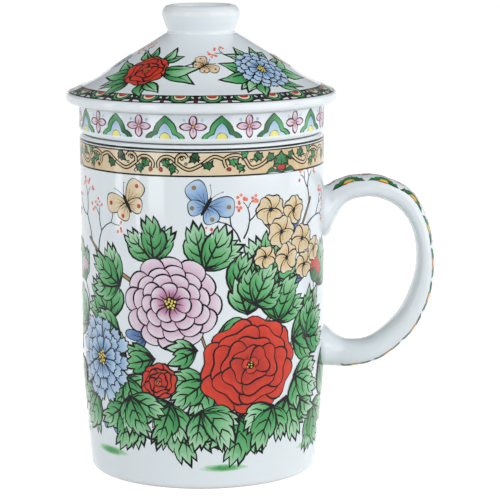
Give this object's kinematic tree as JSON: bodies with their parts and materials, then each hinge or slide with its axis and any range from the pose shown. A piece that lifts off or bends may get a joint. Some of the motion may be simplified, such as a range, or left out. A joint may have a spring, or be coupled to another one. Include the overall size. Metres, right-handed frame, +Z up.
{
  "type": "lidded tea mug with infuser",
  "caption": "Tall porcelain tea mug with a C handle, a drop-in strainer basket under a collar, and a low conical lid with an open flared knob.",
  "frame": {"origin": "centre of the foot ring, on the surface that the mug stands on", "axes": "+Z up along the mug's axis, +X from the axis towards the handle, -Y towards the front of the mug"},
  "size_m": [0.1127, 0.0826, 0.1423],
  "materials": {
    "mug_glaze": "clear glossy glaze over white porcelain",
    "infuser_glaze": "clear glossy glaze over white porcelain",
    "lid_glaze": "clear glossy glaze over white porcelain",
    "print_black": "fired-on black line work, glossy",
    "print_green": "fired-on green enamel, glossy",
    "print_red": "fired-on red enamel, glossy",
    "print_pink": "fired-on pink enamel, glossy",
    "print_blue": "fired-on pale blue enamel, glossy",
    "print_cream": "fired-on cream and tan enamel, glossy"
  },
  "bodies": {
    "mug": {"mug_body": "mug_glaze", "mug_handle": "mug_glaze"},
    "infuser": {"infuser": "infuser_glaze"},
    "lid": {"lid": "lid_glaze", "lid_knob": "lid_glaze"}
  },
  "joints": [
    {"name": "infuser_lift", "type": "slide", "parent": "mug", "child": "infuser", "axis": [0, 0, 1], "range_m": [0, 0.08]},
    {"name": "lid_lift", "type": "slide", "parent": "infuser", "child": "lid", "axis": [0, 0, 1], "range_m": [0, 0.05]}
  ]
}
